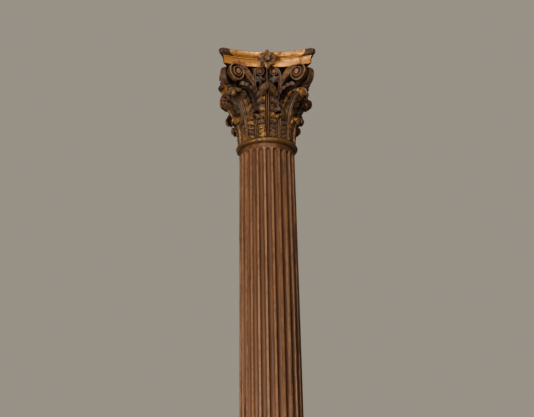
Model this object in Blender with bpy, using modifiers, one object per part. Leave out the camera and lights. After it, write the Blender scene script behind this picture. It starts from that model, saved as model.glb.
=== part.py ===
# Fluted Corinthian column of carved wood: plinth, turned base, shaft, collar, capital and abacus.
# Metres, +Z up. The origin is the middle of the plinth's underside, and the front faces -Y.
import bpy
import bmesh
from math import cos, hypot, pi, radians, sin, sqrt
from mathutils import Matrix, Vector

GAP = 0.0003                    # joint left between pieces that touch

PLINTH_WIDTH = 0.340
PLINTH_HEIGHT = 0.040
PLINTH_EDGE = 0.003
BASE_HEIGHT = 0.080
BASE_MARGIN = 0.003             # plinth left outside the lower torus

SHAFT_LENGTH = 1.987
SHAFT_BOTTOM_RADIUS = 0.118
SHAFT_TOP_RADIUS = 0.1045
SHAFT_SWELL = 1.5               # power of the taper: 1 is a straight cone
FLUTE_COUNT = 24
FLUTE_DEPTH = 0.0085
FLUTE_SHARE = 0.76              # of the pitch that the hollow takes, the rest is fillet
FLUTE_END = 0.019               # plain band above the flutes, and below them
APOPHYGE = 0.007                # how far the foot of the shaft flares

ASTRAGAL_HEIGHT = 0.020
ASTRAGAL_PROJECTION = 0.0125    # beyond the top of the shaft

CAPITAL_HEIGHT = 0.277          # from the collar to the underside of the abacus
NECK_STEP = -0.0045             # the bell's foot against the shaft's top; the leaves cover the step
LEAF_COUNT = 8                  # in each of the two rows
LEAF_THICKNESS = 0.010
LOWER_HALF_WIDTH = 0.0385
UPPER_HALF_WIDTH = 0.040
VOLUTE_RADIUS = 0.0305
VOLUTE_HEADING = 30.0           # degrees that a volute's plane turns back from the front
HELIX_RADIUS = 0.017

# Midribs from foot to tip, as shares of the capital's height: distance out from the bell, and height.
# The two front leaves of the lower row have lost their tips.
LOWER_SPINE = ((0.008, 0.004), (0.024, 0.140), (0.052, 0.262), (0.106, 0.352), (0.130, 0.290))
WORN_SPINE = ((0.008, 0.004), (0.026, 0.140), (0.056, 0.250), (0.090, 0.312))
SIDE_SPINE = ((0.008, 0.004), (0.040, 0.350), (0.095, 0.469), (0.150, 0.578), (0.198, 0.688),
              (0.238, 0.652), (0.236, 0.582))
CORNER_SPINE = ((0.008, 0.004), (0.042, 0.343), (0.082, 0.465), (0.158, 0.578), (0.270, 0.628),
                (0.352, 0.575))

ABACUS_HALF = 0.183
ABACUS_HEIGHT = 0.056
ABACUS_HORN = 0.170             # from the middle of a side to where its corner is cut
ABACUS_HOLLOW = 0.038           # depth of each side's curve
ABACUS_CORBEL = 0.018           # how far the top edge stands out beyond the bottom one
FLEURON_WIDTH = 0.068
FLEURON_HEIGHT = 0.082
FLEURON_PROJECTION = 0.034      # in front of the top edge

TURNED_STEPS = 24
WOOD = (0.19, 0.075, 0.034, 1.0)
CARVED = (0.13, 0.062, 0.026, 1.0)
OLIVE_GILT = (0.28, 0.16, 0.06, 1.0)
GILT = (0.62, 0.31, 0.09, 1.0)
BROWN = (0.10, 0.045, 0.025, 1.0)

BASE_Z = PLINTH_HEIGHT
SHAFT_Z = BASE_Z + BASE_HEIGHT
ASTRAGAL_Z = SHAFT_Z + SHAFT_LENGTH
CAPITAL_Z = ASTRAGAL_Z + ASTRAGAL_HEIGHT
ABACUS_Z = CAPITAL_Z + CAPITAL_HEIGHT
NECK_RADIUS = SHAFT_TOP_RADIUS + NECK_STEP
ASTRAGAL_RADIUS = SHAFT_TOP_RADIUS + ASTRAGAL_PROJECTION


def clear_scene():
    for obj in list(bpy.data.objects):
        bpy.data.objects.remove(obj, do_unlink=True)


def new_collection(name):
    group = bpy.data.collections.new(name)
    bpy.context.scene.collection.children.link(group)
    return group


def material(name, color, roughness, metallic=0.0):
    mat = bpy.data.materials.new(name)
    mat.use_nodes = True
    shader = mat.node_tree.nodes["Principled BSDF"]
    shader.inputs["Base Color"].default_value = color
    shader.inputs["Roughness"].default_value = roughness
    shader.inputs["Metallic"].default_value = metallic
    return mat


def add_object(name, mesh, group, mat=None, smooth_angle=None):
    if mat:
        mesh.materials.clear()
        mesh.materials.append(mat)
    if smooth_angle:
        mesh.shade_smooth()
        mesh.set_sharp_from_angle(angle=radians(smooth_angle))
    obj = bpy.data.objects.new(name, mesh)
    group.objects.link(obj)
    return obj


def mesh_from(bm, name):
    bmesh.ops.recalc_face_normals(bm, faces=bm.faces[:])
    mesh = bpy.data.meshes.new(name)
    bm.to_mesh(mesh)
    bm.free()
    return mesh


# A closed skin over rings that all have as many points, with a flat or pointed cap at each end.
def loft(name, rings):
    bm = bmesh.new()
    loops = [[bm.verts.new(point) for point in ring] for ring in rings]
    count = len(loops[0])
    for low, high in zip(loops, loops[1:]):
        for i in range(count):
            j = (i + 1) % count
            bm.faces.new((low[i], low[j], high[j], high[i]))
    bm.faces.new(list(reversed(loops[0])))
    bm.faces.new(loops[-1])
    return mesh_from(bm, name)


# A plate between a front and a back surface, each given as rows of points.
def plate(name, front, back):
    bm = bmesh.new()
    sides = [[[bm.verts.new(p) for p in row] for row in side] for side in (front, back)]
    rows, cols = len(front), len(front[0])
    for side in sides:
        for i in range(rows - 1):
            for j in range(cols - 1):
                bm.faces.new((side[i][j], side[i][j + 1], side[i + 1][j + 1], side[i + 1][j]))
    rim = [(0, j) for j in range(cols)] + [(i, cols - 1) for i in range(1, rows)]
    rim += [(rows - 1, j) for j in range(cols - 2, -1, -1)] + [(i, 0) for i in range(rows - 2, 0, -1)]
    for a, b in zip(rim, rim[1:] + rim[:1]):
        fronts = [sides[0][k[0]][k[1]] for k in (a, b)]
        backs = [sides[1][k[0]][k[1]] for k in (b, a)]
        bm.faces.new(fronts + backs)
    return mesh_from(bm, name)


# A turned solid: the profile runs down its outer side from the top to the bottom, as (radius, z).
def turned(name, profile, group, mat, steps=TURNED_STEPS):
    bm = bmesh.new()
    points = [(0.0, profile[0][1])] + list(profile) + [(0.0, profile[-1][1])]
    verts = [bm.verts.new((r, 0.0, z)) for r, z in points]
    for a, b in zip(verts, verts[1:]):
        bm.edges.new((a, b))
    mesh = bpy.data.meshes.new(name)
    bm.to_mesh(mesh)
    bm.free()
    obj = add_object(name, mesh, group, mat)
    screw = obj.modifiers.new("turn", "SCREW")
    screw.steps = steps
    screw.render_steps = steps
    screw.use_merge_vertices = True
    screw.merge_threshold = 0.00001
    screw.use_smooth_shade = True
    return obj


# Points of a bulging moulding between two heights, from the top down.
def torus_points(radius, z_low, z_high, count=5):
    half = (z_high - z_low) / 2
    mid = (z_high + z_low) / 2
    swing = [pi / 2 - pi * i / (count - 1) for i in range(count)]
    return [(radius - half + half * cos(a), mid + half * sin(a)) for a in swing]


def build_plinth(group):
    bm = bmesh.new()
    bmesh.ops.create_cube(bm, size=1.0)
    bmesh.ops.scale(bm, vec=(PLINTH_WIDTH, PLINTH_WIDTH, PLINTH_HEIGHT), verts=bm.verts)
    bmesh.ops.translate(bm, vec=(0, 0, PLINTH_HEIGHT / 2), verts=bm.verts)
    obj = add_object("plinth", mesh_from(bm, "plinth"), group, material("plinth wood", WOOD, 0.6))
    bevel = obj.modifiers.new("worn edges", "BEVEL")
    bevel.width = PLINTH_EDGE
    bevel.segments = 1


# Attic base: a large torus, a hollow between fillets, a small torus and the fillet under the shaft.
def build_base(group):
    low, high = BASE_Z + GAP, SHAFT_Z - GAP
    height = high - low
    outer = PLINTH_WIDTH / 2 - BASE_MARGIN
    foot = SHAFT_BOTTOM_RADIUS + APOPHYGE
    upper = foot + (outer - foot) * 0.55
    hollow = foot + (outer - foot) * 0.20
    level = [low + height * s for s in (0.0, 0.36, 0.42, 0.64, 0.70, 0.94)]
    profile = [(foot, high), (foot, level[5])]
    profile += torus_points(upper, level[4], level[5])
    profile += [(upper - height * 0.11, level[3])]
    for i in range(1, 4):
        s = i / 4
        rim = upper - height * 0.11 + (outer - height * 0.14 - upper + height * 0.11) * s
        profile.append((rim - (rim - hollow) * sin(pi * s), level[3] + (level[2] - level[3]) * s))
    profile += [(outer - height * 0.14, level[2]), (outer - height * 0.14, level[1])]
    profile += torus_points(outer, level[0], level[1])
    return turned("base", profile, group, material("base wood", WOOD, 0.6))


def shaft_radius(z):
    share = min(max((z - SHAFT_Z) / SHAFT_LENGTH, 0.0), 1.0)
    return SHAFT_BOTTOM_RADIUS - (SHAFT_BOTTOM_RADIUS - SHAFT_TOP_RADIUS) * share ** SHAFT_SWELL


# One ring of the shaft. Opening 1 is a full flute, and 0 is the plain round shaft.
def fluted_ring(z, radius, opening):
    pitch = 2 * pi / FLUTE_COUNT
    half = pitch * FLUTE_SHARE / 2 * max(opening, 0.12)
    ring = []
    for k in range(FLUTE_COUNT):
        middle = k * pitch
        for across in (-1.0, -0.5, 0.5, 1.0):
            depth = FLUTE_DEPTH * opening * sqrt(1 - across * across) * 1.08
            angle = middle + across * half
            ring.append(((radius - depth) * cos(angle), (radius - depth) * sin(angle), z))
    return ring


def build_shaft(group):
    low, high = SHAFT_Z + GAP, ASTRAGAL_Z - GAP
    bow = SHAFT_TOP_RADIUS * pi / FLUTE_COUNT * FLUTE_SHARE
    foot_flute = low + FLUTE_END * 1.6
    head_flute = high - FLUTE_END
    rings = [fluted_ring(low, SHAFT_BOTTOM_RADIUS + APOPHYGE, 0.0)]
    rings.append(fluted_ring(low + FLUTE_END * 0.6, SHAFT_BOTTOM_RADIUS + APOPHYGE, 0.0))
    rings.append(fluted_ring(low + FLUTE_END, SHAFT_BOTTOM_RADIUS + APOPHYGE * 0.2, 0.0))
    for rise in (0.0, 0.35, 1.0):
        z = foot_flute + bow * rise
        rings.append(fluted_ring(z, shaft_radius(z), sqrt(1 - (1 - rise) ** 2)))
    middle = (foot_flute + head_flute) / 2
    rings.append(fluted_ring(middle, shaft_radius(middle), 1.0))
    for rise in (1.0, 0.35, 0.0):
        z = head_flute - bow * rise
        rings.append(fluted_ring(z, shaft_radius(z), sqrt(1 - (1 - rise) ** 2)))
    rings.append(fluted_ring(high, SHAFT_TOP_RADIUS, 0.0))
    mesh = loft("shaft", rings)
    return add_object("shaft", mesh, group, material("shaft wood", WOOD, 0.55), 30)


def build_astragal(group):
    profile = torus_points(ASTRAGAL_RADIUS, ASTRAGAL_Z + GAP, CAPITAL_Z - GAP)
    return turned("astragal", profile, group, material("astragal gilt", OLIVE_GILT, 0.45, 0.3))


# Radius of the capital's bell at a share of its height: straight at first, then it opens like a cup.
def bell_radius(share):
    lip = ABACUS_HALF - ABACUS_HOLLOW - ABACUS_CORBEL
    opening = max(share - 0.45, 0.0) / 0.55
    return NECK_RADIUS + (lip - NECK_RADIUS) * opening ** 2


def capital_point(angle, radius, share):
    return Vector((radius * sin(angle), -radius * cos(angle), CAPITAL_Z + GAP + CAPITAL_HEIGHT * share))


# One acanthus leaf: it climbs the bell along its spine, leans out and turns its tip over.
def leaf(name, angle, spine, half_width, group):
    across = (-1.0, -0.5, 0.0, 0.5, 1.0)
    ridge = (-0.4, 0.2, 0.6, 0.2, -0.4)
    scallop = (0.74, 0.96, 0.84, 1.04, 0.84, 0.74, 0.36)[-len(spine):]
    path = [(bell_radius(share) / CAPITAL_HEIGHT + away, share) for away, share in spine]
    front, back = [], []
    for i, (radius, share) in enumerate(path):
        before, after = path[max(i - 1, 0)], path[min(i + 1, len(path) - 1)]
        step = hypot(after[0] - before[0], after[1] - before[1])
        outward, upward = (after[1] - before[1]) / step, (before[0] - after[0]) / step
        curl = (1 - outward) / 2                        # 0 on the stem, 1 where the leaf has turned over
        face, rear = [], []
        for u, lift in zip(across, ridge):
            sideways = u * half_width * scallop[i] / (radius * CAPITAL_HEIGHT)
            for side, rib, row in ((1.0, 1 - curl, face), (-1.0, curl, rear)):
                shift = LEAF_THICKNESS * side * (0.5 + rib * lift) / CAPITAL_HEIGHT
                row.append(capital_point(angle + sideways, (radius + shift * outward) * CAPITAL_HEIGHT,
                                         max(share + shift * upward, 0.0)))
        front.append(face)
        back.append(rear)
    return add_object(name, plate(name, front, back), group)


# The leafy cup that both scrolls of a half side grow from, on a stem between two upper leaves.
def calyx(name, angle, group):
    sides = 5
    levels = ((0.32, 0.030, 0.020), (0.47, 0.036, 0.028), (0.58, 0.058, 0.090), (0.66, 0.085, 0.045))
    rings = []
    for share, away, half in levels:
        ring = []
        for i in range(sides):
            a = 2 * pi * i / sides
            radius = bell_radius(share) + CAPITAL_HEIGHT * (away + half * 0.55 * cos(a) - 0.02)
            ring.append(capital_point(angle + CAPITAL_HEIGHT * half * sin(a) / radius, radius, share))
        rings.append(ring)
    return add_object(name, loft(name, rings), group)


# A band of square section that follows points in an upright plane, and narrows to its inner end.
def ribbon(name, points, widths, depth, place, group):
    rings = []
    for i, (u, w) in enumerate(points):
        before, after = points[max(i - 1, 0)], points[min(i + 1, len(points) - 1)]
        along = hypot(after[0] - before[0], after[1] - before[1])
        nu, nw = -(after[1] - before[1]) / along, (after[0] - before[0]) / along
        half = widths[i] / 2
        corners = ((half, -depth / 2), (half, depth / 2), (-half, depth / 2), (-half, -depth / 2))
        rings.append([place @ Vector((u + nu * side, v, w + nw * side)) for side, v in corners])
    return add_object(name, loft(name, rings), group)


# Stalk and scroll: a spiral about (0, 0) that starts on its top, led into by a rising stalk.
def scroll_points(outer, inner, turns, steps, stalk):
    points = list(stalk)
    for i in range(steps + 1):
        share = i / steps
        a = pi / 2 - 2 * pi * turns * share
        r = outer + (inner - outer) * share ** 0.85
        points.append((r * cos(a), r * sin(a)))
    return points


def upright_plane(centre, heading):
    across = Vector((cos(heading), sin(heading), 0.0))
    toward = Vector((-sin(heading), cos(heading), 0.0))
    turn = Matrix((across, toward, Vector((0, 0, 1)))).transposed().to_4x4()
    return Matrix.Translation(centre) @ turn


# The sunk disc inside a scroll. It stands out behind the band and stays back from its front.
def web(name, radius, front, back, place, group):
    bm = bmesh.new()
    bmesh.ops.create_cone(bm, cap_ends=True, segments=8, radius1=radius, radius2=radius,
                          depth=back - front)
    bmesh.ops.rotate(bm, matrix=Matrix.Rotation(pi / 2, 3, "X"), verts=bm.verts)
    bmesh.ops.translate(bm, vec=(0, (back + front) / 2, 0), verts=bm.verts)
    bmesh.ops.transform(bm, matrix=place, verts=bm.verts)
    return add_object(name, mesh_from(bm, name), group)


# The large scroll under one end of one side of the abacus. hand is 1 or -1.
def corner_volute(name, face, hand, group):
    size = CAPITAL_HEIGHT
    radius = VOLUTE_RADIUS
    slope = radians(VOLUTE_HEADING)
    eye = Vector((hand * ABACUS_HORN * 0.69, -(ABACUS_HALF - size * 0.120), CAPITAL_Z + size * 0.874))
    turn = Matrix.Rotation(face, 4, "Z")
    place = turn @ upright_plane(eye, -hand * slope if hand > 0 else slope)
    if hand < 0:
        place = place @ Matrix.Scale(-1, 4, Vector((1, 0, 0)))
    stalk = [(-size * 0.350, -size * 0.37), (-size * 0.268, -size * 0.18), (-size * 0.165, 0.0)]
    steps = 9
    points = scroll_points(radius * 0.93, radius * 0.20, 1.4, steps, stalk)
    widths = [size * 0.045] * len(stalk) + [radius * (0.28 - 0.06 * i / steps) for i in range(steps + 1)]
    ribbon(name, points, widths, size * 0.085, place, group)
    web(name + "_web", radius * 0.80, -size * 0.022, size * 0.047, place, group)


# The small scroll beside the middle of a side. It curls towards the flower.
def helix(name, face, hand, group):
    size = CAPITAL_HEIGHT
    radius = HELIX_RADIUS
    centre = Vector((hand * size * 0.095, -(bell_radius(0.90) + size * 0.045), CAPITAL_Z + size * 0.920))
    lean = Matrix.Rotation(radians(12), 4, "X")         # its foot meets the bell
    place = Matrix.Rotation(face, 4, "Z") @ Matrix.Translation(centre) @ lean
    if hand > 0:
        place = place @ Matrix.Scale(-1, 4, Vector((1, 0, 0)))
    stalk = [(-size * 0.080, -size * 0.28), (-size * 0.088, -size * 0.13), (-size * 0.062, -size * 0.01)]
    steps = 6
    points = scroll_points(radius * 0.83, radius * 0.25, 1.0, steps, stalk)
    widths = [size * 0.036] * len(stalk)
    widths += [radius * (0.34 + 0.36 * (i / steps) ** 2) for i in range(steps + 1)]
    ribbon(name, points, widths, size * 0.075, place, group)


def build_capital(group, carving):
    share = (1.0, 0.9, 0.78, 0.62, 0.45, 0.0)
    high = CAPITAL_Z + CAPITAL_HEIGHT - GAP
    low = CAPITAL_Z + GAP
    profile = [(bell_radius(s), low + (high - low) * s) for s in share]
    bell = turned("capital", profile, group, material("carved wood", CARVED, 0.5, 0.1), 24)
    pitch = 2 * pi / LEAF_COUNT
    for i in range(LEAF_COUNT):
        spine = WORN_SPINE if i in (0, LEAF_COUNT - 1) else LOWER_SPINE
        leaf(f"lower_leaf_{i}", pitch * (i + 0.5), spine, LOWER_HALF_WIDTH, carving)
        spine = CORNER_SPINE if i % 2 else SIDE_SPINE
        leaf(f"upper_leaf_{i}", pitch * i, spine, UPPER_HALF_WIDTH, carving)
        calyx(f"calyx_{i}", pitch * (i + 0.5), carving)
    for side in range(4):
        face = side * pi / 2
        for hand in (-1, 1):
            corner_volute(f"volute_{side}_{hand}", face, hand, carving)
            helix(f"helix_{side}_{hand}", face, hand, carving)
    join = bell.modifiers.new("carving", "BOOLEAN")
    join.operation = "UNION"
    join.operand_type = "COLLECTION"
    join.collection = carving
    join.solver = "EXACT"
    join.use_self = True


# Plan of the abacus, moved in by inset and grown by spare. Its four sides are arcs, its corners flat.
def abacus_ring(z, inset, spare=0.0):
    arc_points = 7
    front = []
    for i in range(arc_points):
        x = -ABACUS_HORN + 2 * ABACUS_HORN * i / (arc_points - 1)
        hollow = ABACUS_HOLLOW * (1 - (x / ABACUS_HORN) ** 2)
        narrow = 1 - inset * 0.5 / ABACUS_HALF
        front.append(Vector((x * narrow, -(ABACUS_HALF - hollow - inset + spare), z)))
    ring = []
    for side in range(4):
        turn = Matrix.Rotation(side * pi / 2, 3, "Z")
        ring += [turn @ point for point in front]
    return ring


# Rings of the abacus from its underside up: plain band, groove, fillet and the wide top band.
def abacus_rings(spare=0.0):
    low, high = ABACUS_Z + GAP - spare, ABACUS_Z + ABACUS_HEIGHT
    steps = ((0.0, 1.0), (0.25, 0.97), (0.47, 0.72), (0.50, 0.55), (0.58, 0.60), (0.62, 0.30),
             (0.70, 0.10), (0.84, 0.0), (1.0, 0.12))
    return [abacus_ring(low + (high + spare - low) * s, ABACUS_CORBEL * i, spare) for s, i in steps]


def build_abacus(group):
    mesh = loft("abacus", abacus_rings())
    return add_object("abacus", mesh, group, material("abacus gilt", GILT, 0.4, 0.5))


# The carved flower on the middle of one side: a boss inside six petals, with its back fitted to the side.
def build_fleuron(name, face, cutter, group):
    petals, per_petal = 6, 2
    middle_z = ABACUS_Z + ABACUS_HEIGHT - GAP - FLEURON_HEIGHT / 2
    back = -(ABACUS_HALF - ABACUS_HOLLOW - ABACUS_CORBEL) - 2 * GAP
    front = -(ABACUS_HALF - ABACUS_HOLLOW + FLEURON_PROJECTION)
    depth = front - back
    levels = ((0.80, 0.0), (1.0, 0.60), (0.70, 0.80), (0.40, 0.70), (0.26, 1.0))
    rings = []
    for reach, forward in levels:
        ring = []
        for i in range(petals * per_petal):
            a = 2 * pi * i / (petals * per_petal)
            lobe = 1.0 if i % per_petal == 0 or reach < 0.5 else 0.80
            ring.append(Vector((FLEURON_WIDTH / 2 * reach * lobe * sin(a), back + depth * forward,
                                middle_z + FLEURON_HEIGHT / 2 * reach * lobe * cos(a))))
        rings.append(ring)
    mesh = loft(name, rings)
    mesh.transform(Matrix.Rotation(face, 4, "Z"))
    obj = add_object(name, mesh, group, material(name + " wood", BROWN, 0.5))
    cut = obj.modifiers.new("fit to abacus", "BOOLEAN")
    cut.operation = "DIFFERENCE"
    cut.object = cutter
    cut.solver = "EXACT"


def hide(obj):
    obj.hide_render = True
    obj.display_type = "WIRE"


def build():
    clear_scene()
    column = new_collection("corinthian_column")
    carving = new_collection("carving")
    cutters = new_collection("cutters")
    build_plinth(column)
    build_base(column)
    build_shaft(column)
    build_astragal(column)
    build_capital(column, carving)
    build_abacus(column)
    clearance = add_object("abacus_clearance", loft("abacus_clearance", abacus_rings(GAP)), cutters)
    for i, side in enumerate(("front", "right", "back", "left")):
        build_fleuron("fleuron_" + side, i * pi / 2, clearance, column)
    for obj in list(carving.objects) + [clearance]:
        hide(obj)


build()
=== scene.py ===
import bpy
import numpy as np
from math import cos, pi, radians, sin
from mathutils import Matrix, Vector


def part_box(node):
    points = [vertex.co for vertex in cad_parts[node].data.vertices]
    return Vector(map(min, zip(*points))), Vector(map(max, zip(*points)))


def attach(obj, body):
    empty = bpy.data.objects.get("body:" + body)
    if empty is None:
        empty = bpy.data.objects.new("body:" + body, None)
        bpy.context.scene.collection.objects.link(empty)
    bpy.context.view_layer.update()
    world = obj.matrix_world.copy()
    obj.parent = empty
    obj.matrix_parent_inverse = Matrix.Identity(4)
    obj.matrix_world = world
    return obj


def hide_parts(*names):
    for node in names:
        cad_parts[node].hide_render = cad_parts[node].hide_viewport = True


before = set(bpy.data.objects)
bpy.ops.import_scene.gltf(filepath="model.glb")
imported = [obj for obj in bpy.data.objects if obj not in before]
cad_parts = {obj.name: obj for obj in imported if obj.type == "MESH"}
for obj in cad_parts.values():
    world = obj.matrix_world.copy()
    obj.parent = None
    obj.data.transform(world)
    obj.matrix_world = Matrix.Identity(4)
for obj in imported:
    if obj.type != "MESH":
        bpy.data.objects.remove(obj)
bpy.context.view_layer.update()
print("frame loaded:", ", ".join(sorted(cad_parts)))


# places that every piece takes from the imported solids
def boxOf(name):
    low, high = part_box(name)
    return np.array(low), np.array(high)


plinthLow, plinthHigh = boxOf("plinth")
baseLow, baseHigh = boxOf("base")
shaftLow, shaftHigh = boxOf("shaft")
collarLow, collarHigh = boxOf("astragal")
capitalLow, capitalHigh = boxOf("capital")
abacusLow, abacusHigh = boxOf("abacus")
flowerLow, flowerHigh = boxOf("fleuron_front")


# a soft, repeatable unevenness made of a few crossing waves, from about -1 to 1
def ripple(points, size, seed, stretch=(1.0, 1.0, 1.0)):
    rng = np.random.default_rng(seed)
    scaled = points * np.array(stretch) / size
    total = np.zeros(points.shape[:-1])
    for octave in range(5):
        direction = rng.normal(size=3)
        direction /= np.linalg.norm(direction)
        other = rng.normal(size=3)
        phase = rng.uniform(0, 2 * pi, 2)
        speed = 2 * pi * (0.6 + 0.35 * octave)
        bend = np.sin(scaled @ other * 2.1 + phase[1])
        total += np.sin(scaled @ direction * speed + phase[0] + 1.3 * bend) / (1 + 0.5 * octave)
    return total / 2.6


# a store of closed shells that become one mesh; tone goes from 0 in a hollow to 1 on a rubbed height, and a
# low tone deepens the painted shade in the hollows
def newStore():
    return {"points": [], "faces": [], "slots": [], "tones": [], "count": 0}


def addShell(store, grid, tone, slot=0, capSlot=0):
    rows, cols = grid.shape[:2]
    first = store["count"]
    store["points"].append(grid.reshape(-1, 3))
    store["tones"].append(np.broadcast_to(np.asarray(tone, float), (rows, cols)).reshape(-1))
    index = np.arange(rows * cols).reshape(rows, cols) + first
    after = np.roll(index, -1, axis=1)
    quads = np.stack([index[:-1], after[:-1], after[1:], index[1:]], axis=-1).reshape(-1, 4)
    store["faces"] += quads.tolist() + [index[0, ::-1].tolist(), index[-1].tolist()]
    if np.ndim(slot):                                       # a slot for each face
        store["slots"] += slot[:rows - 1].reshape(-1).tolist() + [capSlot, capSlot]
    else:
        store["slots"] += [slot] * (len(quads) + 2)
    store["count"] += rows * cols


def finishMesh(name, store, materials, sharp=38):
    points = np.concatenate(store["points"])
    mesh = bpy.data.meshes.new(name)
    mesh.from_pydata(points.tolist(), [], store["faces"])
    for mat in materials:
        mesh.materials.append(mat)
    mesh.polygons.foreach_set("material_index", np.array(store["slots"], dtype=np.int32))
    layer = mesh.attributes.new("tone", "FLOAT", "POINT")
    layer.data.foreach_set("value", np.concatenate(store["tones"]).astype(np.float32))
    mesh.validate()
    mesh.shade_smooth()
    mesh.set_sharp_from_angle(angle=radians(sharp))
    piece = bpy.data.objects.new(name, mesh)
    bpy.context.scene.collection.objects.link(piece)
    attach(piece, "root")
    return piece


def turnGrid(grid, angle):
    c, s = cos(angle), sin(angle)
    return grid @ np.array([[c, s, 0.0], [-s, c, 0.0], [0.0, 0.0, 1.0]])


# level directions away from the column's middle
def outwardFrom(grid):
    flat = grid * np.array([1.0, 1.0, 0.0])
    return flat / np.linalg.norm(flat, axis=-1, keepdims=True)


# shader helpers
def addNode(tree, kind, **settings):
    node = tree.nodes.new(kind)
    for key, value in settings.items():
        if key in node.inputs:
            node.inputs[key].default_value = value
        else:
            setattr(node, key, value)
    return node


def newGroup(name, inputs, outputs):
    tree = bpy.data.node_groups.new(name, "ShaderNodeTree")
    for label, kind, value in inputs:
        socket = tree.interface.new_socket(name=label, in_out="INPUT", socket_type=kind)
        if value is not None:
            socket.default_value = value
    for label, kind in outputs:
        tree.interface.new_socket(name=label, in_out="OUTPUT", socket_type=kind)
    return tree, tree.nodes.new("NodeGroupInput"), tree.nodes.new("NodeGroupOutput")


def linkOutputs(tree, end, **values):
    for label, value in values.items():
        tree.links.new(value, end.inputs[label])
    return tree


# a number, a colour or another node's output goes into a socket
def feed(tree, socket, value):
    if isinstance(value, (int, float)):
        socket.default_value = value
    elif isinstance(value, tuple):
        socket.default_value = (*value, 1.0)
    elif value is not None:
        tree.links.new(value, socket)


def mathNode(tree, operation, first, second=None, clamp=False):
    node = addNode(tree, "ShaderNodeMath", operation=operation, use_clamp=clamp)
    feed(tree, node.inputs[0], first)
    feed(tree, node.inputs[1], second)
    return node.outputs[0]


def mixColor(tree, factor, first, second):
    node = addNode(tree, "ShaderNodeMix", data_type="RGBA", blend_type="MIX")
    for slot, value in ((0, factor), (6, first), (7, second)):
        feed(tree, node.inputs[slot], value)
    return node.outputs[2]


def spread(tree, value, low, high, outLow=0.0, outHigh=1.0):
    node = addNode(tree, "ShaderNodeMapRange", clamp=True)
    for slot, number in enumerate((value, low, high, outLow, outHigh)):
        feed(tree, node.inputs[slot], number)
    return node.outputs[0]


def noiseOf(tree, vector, scale, detail=4.0, rough=0.55, distortion=0.0):
    node = addNode(tree, "ShaderNodeTexNoise", Scale=scale, Detail=detail, Roughness=rough)
    node.inputs["Distortion"].default_value = distortion
    tree.links.new(vector, node.inputs["Vector"])
    return node.outputs["Fac"]


def stretched(tree, vector, scale):
    node = addNode(tree, "ShaderNodeMapping")
    node.inputs["Scale"].default_value = scale
    tree.links.new(vector, node.inputs["Vector"])
    return node.outputs[0]


# long grain with drying cracks, running up the column
def buildGrainGroup():
    tree, start, end = newGroup(
        "longGrain",
        [("Fineness", "NodeSocketFloat", 1.0), ("Crack amount", "NodeSocketFloat", 0.5)],
        [("Streak", "NodeSocketFloat"), ("Patch", "NodeSocketFloat"), ("Crack", "NodeSocketFloat"),
         ("Height", "NodeSocketFloat")])
    place = addNode(tree, "ShaderNodeTexCoord").outputs["Object"]
    scaled = addNode(tree, "ShaderNodeVectorMath", operation="SCALE")
    tree.links.new(place, scaled.inputs[0])
    tree.links.new(start.outputs["Fineness"], scaled.inputs["Scale"])
    place = scaled.outputs[0]
    fine = noiseOf(tree, stretched(tree, place, (1.0, 1.0, 0.028)), 260.0, 5.0, 0.65)
    broad = noiseOf(tree, stretched(tree, place, (1.0, 1.0, 0.05)), 75.0, 4.0, 0.6, 0.4)
    streak = mathNode(tree, "ADD", mathNode(tree, "MULTIPLY", fine, 0.55),
                      mathNode(tree, "MULTIPLY", broad, 0.45))
    streak = spread(tree, streak, 0.33, 0.67)
    patch = spread(tree, noiseOf(tree, stretched(tree, place, (1.0, 1.0, 0.35)), 9.0, 5.0, 0.6), 0.32, 0.68)
    line = noiseOf(tree, stretched(tree, place, (1.0, 1.0, 0.022)), 120.0, 2.0, 0.5, 0.8)
    line = mathNode(tree, "ABSOLUTE", mathNode(tree, "SUBTRACT", line, 0.5))
    where = noiseOf(tree, stretched(tree, place, (1.0, 1.0, 0.25)), 14.0, 2.0)
    width = spread(tree, where, 0.48, 0.66, 0.0, 0.016)
    width = mathNode(tree, "MULTIPLY", width, start.outputs["Crack amount"])
    crack = spread(tree, mathNode(tree, "SUBTRACT", width, line), 0.0, 0.006)
    height = mathNode(tree, "SUBTRACT", mathNode(tree, "MULTIPLY", streak, 0.35), crack)
    return linkOutputs(tree, end, Streak=streak, Patch=patch, Crack=crack, Height=height)


# rubbed heights from handling, and hollows darkened partly by dust and dirt, partly as painted shade
def buildWearAndShadeGroup():
    tree, start, end = newGroup(
        "wearAndShade",
        [("Rub from", "NodeSocketFloat", 0.6), ("Rub to", "NodeSocketFloat", 0.95),
         ("Dirt reach", "NodeSocketFloat", 0.02), ("Breakup", "NodeSocketFloat", 60.0)],
        [("Rubbed", "NodeSocketFloat"), ("Dirty", "NodeSocketFloat"), ("Tone", "NodeSocketFloat")])
    tone = addNode(tree, "ShaderNodeAttribute", attribute_name="tone").outputs["Fac"]
    place = addNode(tree, "ShaderNodeTexCoord").outputs["Object"]
    rough = addNode(tree, "ShaderNodeTexNoise", Detail=5.0, Roughness=0.65)
    tree.links.new(place, rough.inputs["Vector"])
    tree.links.new(start.outputs["Breakup"], rough.inputs["Scale"])
    uneven = mathNode(tree, "MULTIPLY", mathNode(tree, "SUBTRACT", rough.outputs["Fac"], 0.5), 0.9)
    worn = mathNode(tree, "ADD", tone, uneven)
    rubbed = spread(tree, worn, start.outputs["Rub from"], start.outputs["Rub to"])
    # ambient occlusion paints the darkening of the hollows: partly dirt, partly painted shade
    shade = addNode(tree, "ShaderNodeAmbientOcclusion", samples=8)
    tree.links.new(start.outputs["Dirt reach"], shade.inputs["Distance"])
    shadeDirtMask = spread(tree, shade.outputs["AO"], 0.85, 0.25)
    shadeDirtMask = mathNode(tree, "MULTIPLY", shadeDirtMask, spread(tree, tone, 0.9, 0.3, 0.35, 1.0), True)
    return linkOutputs(tree, end, Rubbed=rubbed, Dirty=shadeDirtMask, Tone=tone)


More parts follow.
